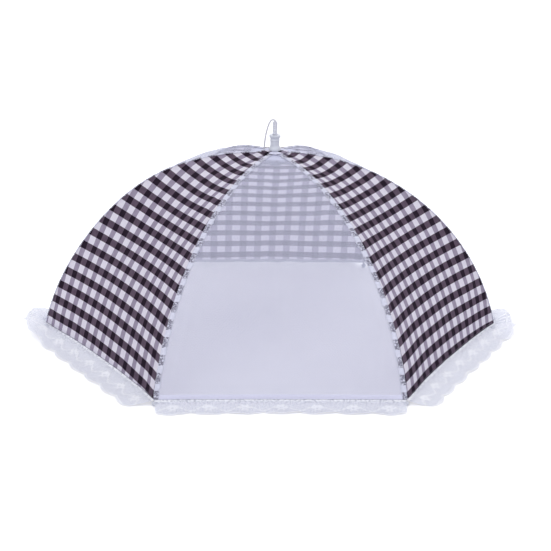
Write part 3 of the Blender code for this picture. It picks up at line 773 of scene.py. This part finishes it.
def seam_tape(rib):
    """The bound seam over a rib, most of it on the mesh's side, with an uneven edge there."""
    toward_mesh = mesh_side(rib)
    gingham = beside(rib, -toward_mesh)[0]
    width = TAPE_OVER_GINGHAM + TAPE_OVER_MESH
    shares = (0.0, 0.08, TAPE_OVER_GINGHAM / width, 0.4, 0.65, 0.88, 1.0)
    rows = ARC_STEPS * 3

    def place(column, row):
        arc = FIRST_ARC + (LAST_ARC - FIRST_ARC) * row / rows
        share = shares[column]
        ragged = waver(arc / (2.0 * MM), share * 2, rib * 4.3)
        from_seam = share * width - TAPE_OVER_GINGHAM + ragged * 1.5 * MM * share * share
        lift = CLOTH_THICKNESS / 2 + TAPE_THICKNESS / 2 + 0.05 * MM
        lift += 0.3 * MM * sin(pi * share)
        side = toward_mesh if from_seam > 0 else -toward_mesh
        point = seam_point(rib, side, slope_of(arc), abs(from_seam), lift)
        edge = toward_mesh * half_width(slope_of(arc))
        return point, (from_seam, cloth_spot(gingham, edge, arc)[1])

    name = RIB_PLACES[rib]
    mesh = grid(f"tape_{name}", len(shares) - 1, rows, place)
    facing_out(mesh, rib)
    made = rib_piece(f"tape_{name}", mesh, rib, [f"seam_tape_{name}"], ["seam_tape"])
    thicken(made, TAPE_THICKNESS)
    return made


def add_stitch(shape, start, end, proud):
    """One stitch: a spindle of thread that dips into the cloth at its ends. proud is off the cloth."""
    normal = (proud - start).normalized()
    along = (end - start).normalized()
    aside = along.cross(normal).normalized()
    middle = (start + end) / 2 + normal * STITCH_RADIUS
    ring = [
        shape.verts.new(middle + (aside * x + normal * z) * STITCH_RADIUS)
        for x, z in ((1, 0), (0, 1), (-1, 0), (0, -1))
    ]
    first, last = shape.verts.new(start), shape.verts.new(end)
    for i in range(4):
        shape.faces.new((first, ring[(i + 1) % 4], ring[i]))
        shape.faces.new((last, ring[i], ring[(i + 1) % 4]))


def stitched(name, shape, rib):
    """The stitches in a shape, as a piece on a rib."""
    mesh = mesh_of(shape, name, solid=True)
    mesh.shade_smooth()
    return rib_piece(name, mesh, rib, (), ["thread"])


def seam_stitches(rib):
    """A straight row of stitches beside the seam and a zigzag row along the tape's outer edge."""
    shape = bmesh.new()
    side = mesh_side(rib)
    count = int((LAST_ARC - FIRST_ARC - 4 * MM) / STITCH_PITCH)
    lift = CLOTH_THICKNESS / 2 + TAPE_THICKNESS + 0.25 * MM
    zigzag = (TAPE_OVER_MESH - 1.7 * MM, TAPE_OVER_MESH - 0.2 * MM)
    straight = (0.9 * MM, 0.9 * MM, STITCH_LENGTH)
    rows = (straight, (*zigzag, STITCH_PITCH / 2), (*zigzag[::-1], STITCH_PITCH))
    for near, far, advance in rows:
        lead = STITCH_PITCH / 2 if advance == STITCH_PITCH else 0
        for index in range(count):
            arc = FIRST_ARC + 3 * MM + index * STITCH_PITCH
            start = seam_point(rib, side, slope_of(arc + lead), near, lift)
            end = seam_point(rib, side, slope_of(arc + advance), far, lift)
            proud = seam_point(rib, side, slope_of(arc), near, lift + 1 * MM)
            add_stitch(shape, start, end, proud)
    return stitched(f"stitches_{RIB_PLACES[rib]}", shape, rib)


def hem_stitches(rib, side):
    """The row of stitches along a half panel's hem."""
    panel, name, _, half = beside(rib, side)
    shape = bmesh.new()
    near = HEM_HALF - TAPE_OVER_MESH - 1.5 * MM
    lift = CLOTH_THICKNESS / 2 + HEM_STEP + 0.02 * MM
    for index in range(int(near / STITCH_PITCH)):
        from_fold = 0.5 * MM + index * STITCH_PITCH
        slope = slope_of(bowed(panel, LAST_ARC - 1.9 * MM, from_fold / HEM_HALF))
        start = panel_point(panel, slope, -side * from_fold, lift)
        end = panel_point(panel, slope, -side * (from_fold + STITCH_LENGTH), lift)
        proud = panel_point(panel, slope, -side * from_fold, lift + 1 * MM)
        add_stitch(shape, start, end, proud)
    made = stitched(f"hem_stitches_{name}_{half}", shape, rib)
    fold_in(made)
    return made


def corner_lift(rib, cloth, turn, from_corner):
    """How far the lace's outer edge stands up at a corner round which it runs on."""
    round_corner = turn * HALF_SECTOR * LACE_WIDTH / 2
    if cloth == "gingham":
        run = FAN_FRONT_RUN[rib] + HALF_SECTOR * LACE_WIDTH / 2
        return FAN_LIFT[rib] * smoothstep((FAN_FRONT_RUN[rib] - from_corner + round_corner) / run)
    if turn > 0:
        return FAN_BACK_LIFT + (FAN_LIFT[rib] - FAN_BACK_LIFT) * smoothstep(turn)
    return FAN_BACK_LIFT * smoothstep(1 - from_corner / FAN_BACK_RUN)


def lace_width(panel, along, share):
    """How wide the lace is at a length along it, scalloped and reaching up to the bowed hem."""
    lobe = abs(cos(pi * along / LOBE_LENGTH)) ** SCALLOP_ROUNDNESS
    width = LACE_WIDTH + SCALLOP_DEPTH * (lobe - 0.5)
    if PANELS[panel][1] == "gingham":
        width += LACE_OVER_GINGHAM + LAST_ARC - bowed(panel, LAST_ARC, share)
    return width


def lace_placer(rib, side, fan_steps):
    """The function that places each corner of a half's lace, for grid."""
    panel, _, cloth, _ = beside(rib, side)
    middle = panel_azimuth(panel)
    sideways = directions(middle)[1]
    end_gap = 0.0 if fan_steps else LACE_END_GAP
    slant = 0.0 if fan_steps else LACE_END_SLANT[cloth]

    def place(column, row):
        out = max(0, row - 1) / LACE_STEPS_OUT
        turn = max(0.0, 1 - column / fan_steps) if fan_steps else 0.0
        share = 1 - max(0, column - fan_steps) / LACE_STEPS_ALONG
        arc = bowed(panel, LAST_ARC, share)
        from_fold = share * (half_width(slope_of(arc)) - end_gap)
        along = from_fold + turn * HALF_SECTOR * LACE_WIDTH / 2
        if row == 0:
            inside = slope_of(arc - LACE_SEWN_IN)
            sewn = panel_point(panel, inside, -side * from_fold, -0.8 * MM)
            return sewn, (-side * along, -LACE_SEWN_IN)
        hem = panel_point(panel, slope_of(arc), -side * from_fold, -0.6 * MM)
        width = lace_width(panel, along, share)
        top = hem.z - 0.3 * MM
        edge = LACE_EDGE_HEIGHT
        if fan_steps:
            edge += corner_lift(rib, cloth, turn, HEM_HALF - from_fold)
        fall = (top - edge) * (1 - (1 - out) ** 2.2)
        ripple = waver(side * along / (16 * MM), out * 1.2, panel * 6.1)
        ripple = LACE_RIPPLE_HEIGHT * out * max(ripple + 0.25, -0.1) * (1 - turn)
        gather = LACE_GATHER_HEIGHT * sin(2 * pi * along / LACE_GATHER_PITCH)
        gather *= (1 - out) * smoothstep(out * 5)
        away = directions(middle - side * turn * HALF_SECTOR)[0]
        point = hem + away * (out * width) + sideways * (side * share**3 * slant * out)
        point.z = top - fall + ripple + gather
        return point, (-side * along, out * width)

    return place


def half_lace(rib, side):
    """The lace below a half panel: it flares out from inside the hem and nearly lies on the table."""
    _, name, cloth, half = beside(rib, side)
    fan_steps = FAN_STEPS if rib in FAN_LIFT else 0
    columns = fan_steps + LACE_STEPS_ALONG
    place = lace_placer(rib, side, fan_steps)
    mesh = grid(f"lace_{name}_{half}", columns, LACE_STEPS_OUT + 1, place)
    facing_out(mesh, rib)
    out_share = mesh.attributes.new("out_share", "FLOAT", "POINT")
    for index, point in enumerate(out_share.data):
        point.value = max(0, index // (columns + 1) - 1) / LACE_STEPS_OUT
    made = rib_piece(f"lace_{name}_{half}", mesh, rib, [f"{name}_lace_{half}_half"], ["lace"])
    fold_in(made)
    length = HEM_HALF + (HALF_SECTOR * LACE_WIDTH if fan_steps else 0)
    flat = (length, LACE_WIDTH + SCALLOP_DEPTH / 2)
    if cloth == "gingham":
        flat = (length, flat[1] + LACE_OVER_GINGHAM + HEM_BOW * HEM_HALF**2)


def turns(count):
    """Angles once round, evenly spaced."""
    return [2 * pi * index / count for index in range(count)]


def skin(shape, rings, closed):
    """Smooth faces from each ring of corners to the next, and from the last to the first if closed."""
    following = rings[1:] + (rings[:1] if closed else [])
    for low, high in zip(rings, following):
        for corner in range(len(low)):
            after = (corner + 1) % len(low)
            face = shape.faces.new((low[corner], low[after], high[after], high[corner]))
            face.smooth = True


def tube(name, points, radius, sides=12, twist=None):
    """A closed round tube along points. twist(angle, length) scales the radius, for a laid cord."""
    shape = bmesh.new()
    rings = []
    length = 0.0
    side = Vector((0, 1, 0))
    for index, point in enumerate(points):
        before = points[max(index - 1, 0)]
        after = points[min(index + 1, len(points) - 1)]
        along = (after - before).normalized()
        side = (side - along * side.dot(along)).normalized()
        up = along.cross(side)
        if index:
            length += (point - before).length
        ring = []
        for angle in turns(sides):
            reach = radius * (twist(angle, length) if twist else 1)
            ring.append(shape.verts.new(point + (side * cos(angle) + up * sin(angle)) * reach))
        rings.append(ring)
    skin(shape, rings, closed=False)
    shape.faces.new(rings[0])
    shape.faces.new(rings[-1])
    return mesh_of(shape, name, solid=True)


def turned(name, outline, steps=64):
    """A ring-shaped solid, turned round the cover's axis from a closed outline of (radius, height)."""
    shape = bmesh.new()
    rings = [
        [shape.verts.new((radius * cos(turn), radius * sin(turn), height)) for turn in turns(steps)]
        for radius, height in outline
    ]
    skin(shape, rings, closed=True)
    mesh = mesh_of(shape, name, solid=True)
    smooth_but_for(mesh, 50)
    return mesh


def rounded(corners, radius, steps=4):
    """The outline with each corner that has a radius rounded off. Corners are (x, z, share of radius)."""
    found = []
    count = len(corners)
    for index, (x, z, share) in enumerate(corners):
        here = Vector((x, z))
        before = Vector(corners[index - 1][:2]) - here
        after = Vector(corners[(index + 1) % count][:2]) - here
        reach = min(radius * share, before.length * 0.45, after.length * 0.45)
        if reach < 0.01 * MM:
            found.append((x, z))
            continue
        start = here + before.normalized() * reach
        end = here + after.normalized() * reach
        for step in range(steps + 1):
            t = step / steps
            spot = start * (1 - t) ** 2 + here * 2 * t * (1 - t) + end * t * t
            found.append((spot.x, spot.y))
    return found


def collar():
    """The white collar: a flared foot, a waist with moulded rings and a lip."""
    waist = 5.9 * MM
    lip = 7.3 * MM
    foot = 7.9 * MM
    bore = 3.4 * MM
    corners = [
        (bore, COLLAR_TOP, 0.5),
        (lip, COLLAR_TOP, 1),
        (lip, COLLAR_TOP - 2.6 * MM, 1),
        (waist, COLLAR_TOP - 4.2 * MM, 1),
        (waist, COLLAR_TOP - 6.0 * MM, 0.3),
        (waist + 0.35 * MM, COLLAR_TOP - 6.4 * MM, 0.3),
        (waist + 0.35 * MM, COLLAR_TOP - 7.4 * MM, 0.3),
        (waist, COLLAR_TOP - 7.8 * MM, 0.3),
        (waist, COLLAR_BOTTOM + 6.0 * MM, 1),
        (foot, COLLAR_BOTTOM + 2.4 * MM, 1),
        (foot, COLLAR_BOTTOM, 0.4),
        (SPIGOT_BORE, COLLAR_BOTTOM, 0),
        (SPIGOT_BORE, SPIGOT_TOP, 0),
        (bore, SPIGOT_TOP, 0),
    ]
    mesh = turned("collar", rounded(corners, 0.9 * MM))
    piece("collar", mesh, "crown", ["top_collar"], ["white_plastic"])


def post():
    """The translucent post, with a groove at the collar's lip and a hole for the cord."""
    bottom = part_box("latch_post")[0][2]
    head_top = bottom + 1.5 * MM
    head = 5.2 * MM
    radius = 3.0 * MM
    groove = radius - 0.5 * MM
    hole = 1.4 * MM
    hole_end = POST_TOP - 6.0 * MM
    corners = [
        (hole, hole_end, 0),
        (hole, POST_TOP, 0.4),
        (radius, POST_TOP, 1),
        (radius, COLLAR_TOP, 0.2),
        (groove, COLLAR_TOP - 0.5 * MM, 0.2),
        (groove, COLLAR_TOP - 1.5 * MM, 0.2),
        (radius, COLLAR_TOP - 2.0 * MM, 0.2),
        (radius, head_top, 0),
        (head, head_top, 0.4),
        (head, bottom, 0.6),
        (0.2 * MM, bottom, 0),
        (0.2 * MM, hole_end, 0),
    ]
    mesh = turned("post", rounded(corners, 1.0 * MM), steps=48)
    piece("post", mesh, "runner", ["latch_post"], ["clear_plastic"])


def rosette_point(angle, share):
    """A point of the gathered patch, whose rim lies down on the panels between the seams."""
    around, beside_it = cos(angle), sin(angle)
    gather = cos(angle * 18 + 2 * waver(around, beside_it, 3.0))
    ragged = 0.3 * MM * waver(around * 6, beside_it * 6, 1.0)
    reach = ROSETTE_INNER + (ROSETTE_OUTER - ROSETTE_INNER) * share + ragged * share
    height = PATCH_BOTTOM + PATCH_THICKNESS / 2
    height += 0.22 * MM * gather * sin(pi * min(share * 1.1, 1))
    over_seam = sqrt(0.5 + 0.5 * cos(len(PANELS) * angle))
    droop = ROSETTE_DROOP * (1 - 0.8 * over_seam)
    height -= droop * smoothstep((reach - ROSETTE_BEND) / (ROSETTE_OUTER - ROSETTE_BEND))
    return Vector((reach * around, reach * beside_it, height))


def lay_panel_tops(shape):
    """Gives each face of the patch the finish and the place in the flat cloth of its panel."""
    layer = shape.loops.layers.uv["cloth"]
    for face in shape.faces:
        face.normal_update()
        spot = face.calc_center_median()
        panel = int(atan2(spot.y, spot.x) % (2 * pi) / (2 * HALF_SECTOR))
        middle = panel_azimuth(panel)
        face.material_index = 0 if PANELS[panel][1] == "gingham" else 1
        for loop in face.loops:
            x, y = loop.vert.co.xy
            ahead = x * cos(middle) + y * sin(middle)
            across = y * cos(middle) - x * sin(middle)
            loop[layer].uv = cloth_spot(panel, across, ahead / cos(HALF_SECTOR) - HINGE_RADIUS)


def rosette():
    """The gathered tops of the six panels, drawn together into a round patch that the collar clamps."""
    around, rings = 144, 8

    def place(column, row):
        return rosette_point(2 * pi * column / around, row / rings), (0, 0)

    mesh = grid("rosette", around, rings, place)
    shape = bmesh.new()
    shape.from_mesh(mesh)
    bmesh.ops.remove_doubles(shape, verts=shape.verts, dist=0.01 * MM)
    lay_panel_tops(shape)
    shape.to_mesh(mesh)
    shape.free()
    if sum(polygon.normal.z for polygon in mesh.polygons) <= 0:
        mesh.flip_normals()
    made = piece("rosette", mesh, "crown", ["apex_patch"], ["gingham", "mesh_hem"])
    thicken(made, 0.4 * MM)


def smooth_route(points, steps):
    """Points on a smooth curve through the route's own points (a Catmull-Rom curve)."""
    ends = [points[0], *points, points[-1]]
    found = []
    for index in range(len(points) - 1):
        a, b, c, d = ends[index : index + 4]
        for step in range(steps):
            t = step / steps
            bend = (2 * a - 5 * b + 4 * c - d) * t**2 + (3 * b - a - 3 * c + d) * t**3
            found.append(0.5 * (2 * b + (c - a) * t + bend))
    return [*found, points[-1]]


def pull_cord():
    """The cord, laid from three strands: out of the post, over to the left and down to the patch."""
    foot = PATCH_BOTTOM + PATCH_THICKNESS + 0.3 * MM
    route = [
        Vector((-CORD_FOOT_LEFT * aside, CORD_FOOT_BACK * aside, foot + (POST_TOP - foot) * up))
        for aside, up in CORD_ROUTE_SHARES
    ]
    line = smooth_route(route, 9)

    def laid(angle, along):
        return 0.98 + 0.07 * cos(3 * angle - 2 * pi * along / CORD_LAY)

    mesh = tube("pull_cord_laid", line, CORD_RADIUS, sides=24, twist=laid)
    made = piece("pull_cord_laid", mesh, "crown", ["pull_cord"], ["cord"])
    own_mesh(made)


def joined(name, meshes):
    """Several closed meshes as one."""
    shape = bmesh.new()
    for mesh in meshes:
        shape.from_mesh(mesh)
        bpy.data.meshes.remove(mesh)
    return mesh_of(shape, name)


def loop_mesh(name, middle, radius, wire, azimuth, steps=32, sides=10):
    """A wire bent to a closed eye in the rib's plane."""
    outward, across = directions(azimuth)
    shape = bmesh.new()
    rings = []
    for turn in turns(steps):
        spoke = outward * cos(turn) + Vector((0, 0, sin(turn)))
        ring = []
        for angle in turns(sides):
            offset = spoke * cos(angle) + across * sin(angle)
            ring.append(shape.verts.new(middle + spoke * radius + offset * wire))
        rings.append(ring)
    skin(shape, rings, closed=True)
    return mesh_of(shape, name, solid=True)


def rib_wire(rib):
    """A smooth coated wire over the CAD rib's own eye and clip."""
    azimuth = rib_azimuth(rib)
    outward, _ = directions(azimuth)
    steps = 90
    slopes = [TOP_SLOPE + (TIP_SLOPE - TOP_SLOPE) * index / steps for index in range(steps + 1)]
    slopes[0] = TOP_SLOPE + 1.3 * MM / BEND_RADIUS
    points = []
    for slope in slopes:
        reach, height = rib_point(slope)
        points.append(outward * reach + Vector((0, 0, height)))
    wire = tube("wire", points, RIB_WIRE_RADIUS)
    hinge = outward * HINGE_RADIUS + Vector((0, 0, HINGE_HEIGHT))
    eye = loop_mesh("eye", hinge, 1.3 * MM, 0.4 * MM, azimuth)
    name = f"rib_wire_{RIB_PLACES[rib]}"
    mesh = joined(name, [wire, eye])
    smooth_but_for(mesh, 50)
    rib_piece(name, mesh, rib, (), ["coated_wire"])


def tip_bead(rib):
    """The white bead on a rib's end, flat where it stands."""
    azimuth = rib_azimuth(rib)
    shape = bmesh.new()
    bmesh.ops.create_uvsphere(shape, u_segments=32, v_segments=20, radius=3.3 * MM)
    middle = Vector((TIP_RADIUS * cos(azimuth), TIP_RADIUS * sin(azimuth), TIP_HEIGHT))
    bmesh.ops.translate(shape, vec=middle, verts=shape.verts)
    cut = bmesh.ops.bisect_plane(
        shape,
        geom=[*shape.verts, *shape.edges, *shape.faces],
        plane_co=(0, 0, 0),
        plane_no=(0, 0, -1),
        clear_outer=True,
    )
    rim = [part for part in cut["geom_cut"] if isinstance(part, bmesh.types.BMEdge)]
    bmesh.ops.contextual_create(shape, geom=rim)
    place = RIB_PLACES[rib]
    mesh = mesh_of(shape, f"tip_bead_{place}", solid=True)
    smooth_but_for(mesh, 40)
    finish = "white_plastic"
    rib_piece(f"tip_bead_{place}", mesh, rib, [f"tip_cap_{place}"], [finish])


def finish_cad_nodes():
    """Gives the CAD nodes that stay in view their materials."""
    for name, node in frame["nodes"].items():
        if name.startswith(("rib_", "stretcher_")) or name.endswith("_ring"):
            material = MATERIALS["coated_wire"]
        elif name in ("crown_hub", "runner_hub"):
            material = MATERIALS["white_plastic"]
        else:
            continue
        for slot in node.material_slots:
            slot.material = material


def towards(azimuth, elevation):
    """The direction in which something lies at an azimuth from the front and an elevation."""
    level = cos(elevation)
    return Vector((sin(azimuth) * level, -cos(azimuth) * level, sin(elevation)))


def camera():
    data = bpy.data.cameras.new("camera")
    data.sensor_width = SENSOR / MM
    data.lens = FOCAL_PIXELS / IMAGE_SIDE * SENSOR / MM
    data.shift_x = (IMAGE_SIDE / 2 - AIM_PIXEL[0]) / IMAGE_SIDE
    data.shift_y = (AIM_PIXEL[1] - IMAGE_SIDE / 2) / IMAGE_SIDE
    made = linked("camera", data)
    back = towards(CAMERA_AZIMUTH, CAMERA_ELEVATION)
    made.location = Vector((0, 0, AIM_HEIGHT)) + back * CAMERA_DISTANCE
    level_view = (-back).to_track_quat("-Z", "Y").to_matrix()
    made.rotation_euler = (level_view @ Matrix.Rotation(CAMERA_ROLL, 3, "Z")).to_euler()
    bpy.context.scene.camera = made


def world():
    """White to look at, and a plain soft light on the object."""
    made = bpy.data.worlds.new("studio")
    bpy.context.scene.world = made
    made.use_nodes = True
    nodes = Nodes(made.node_tree)
    light = nodes.tree.nodes["Background"]
    nodes.feed(light.inputs["Color"], (0.96, 0.97, 1.0, 1))
    nodes.feed(light.inputs["Strength"], 0.62)
    white = nodes.node("ShaderNodeBackground", {"Color": (1, 1, 1, 1), "Strength": 1.0})
    nodes.surface("World Output", nodes.seen_directly(), light, white)


def floor():
    """A plain white table that keeps the cover's soft shadow."""
    mesh = bpy.data.meshes.new("floor")
    side = 30.0
    corners = [(-side, -side, 0), (side, -side, 0), (side, side, 0), (-side, side, 0)]
    mesh.from_pydata(corners, [], [(0, 1, 2, 3)])
    made = linked("floor", mesh)
    made.location = (0, 0, -0.05 * MM)
    shader = Shader("floor", (0.90, 0.90, 0.92), 0.9, Emission_Color=(1, 1, 1, 1))
    glow = shader.math("MULTIPLY", shader.seen_directly(), FLOOR_WHITE)
    shader.set("Emission Strength", glow)
    mesh.materials.append(MATERIALS["floor"])


def lamp(name, azimuth, elevation, strength, spread):
    """A soft light from far away."""
    data = bpy.data.lights.new(name, "SUN")
    data.energy = strength
    data.angle = radians(spread)
    back = towards(radians(azimuth), radians(elevation))
    linked(name, data).rotation_euler = (-back).to_track_quat("-Z", "Y").to_euler()


def build():
    bpy.context.scene.view_settings.view_transform = "Standard"
    camera()
    world()
    floor()
    lamp("key", -35, 52, 0.95, 40)
    lamp("fill", 50, 35, 0.45, 60)
    lamp("back", 172, 38, 0.95, 60)
    gingham_material()
    mesh_material()
    hem_material()
    tape_material()
    lace_material()
    thread_material()
    wire_material()
    plastic_material("white_plastic", (0.56, 0.58, 0.66), (0.62, 0.64, 0.72), 0.32)
    clear = (0.68, 0.69, 0.78), (0.74, 0.75, 0.84)
    plastic_material("clear_plastic", *clear, 0.22, Transmission_Weight=0.25)
    cord_material()
    pull_cord()
    collar()
    post()
    rosette()
    for rib in range(len(RIB_PLACES)):
        tape = seam_tape(rib)
        stitches = seam_stitches(rib)
        rib_wire(rib)
        tip_bead(rib)
        for side in (1, -1):
            cloth, flat, area = half_panel(rib, side)
            hem = hem_stitches(rib, side)
            half_lace(rib, side)
    finish_cad_nodes()


build()
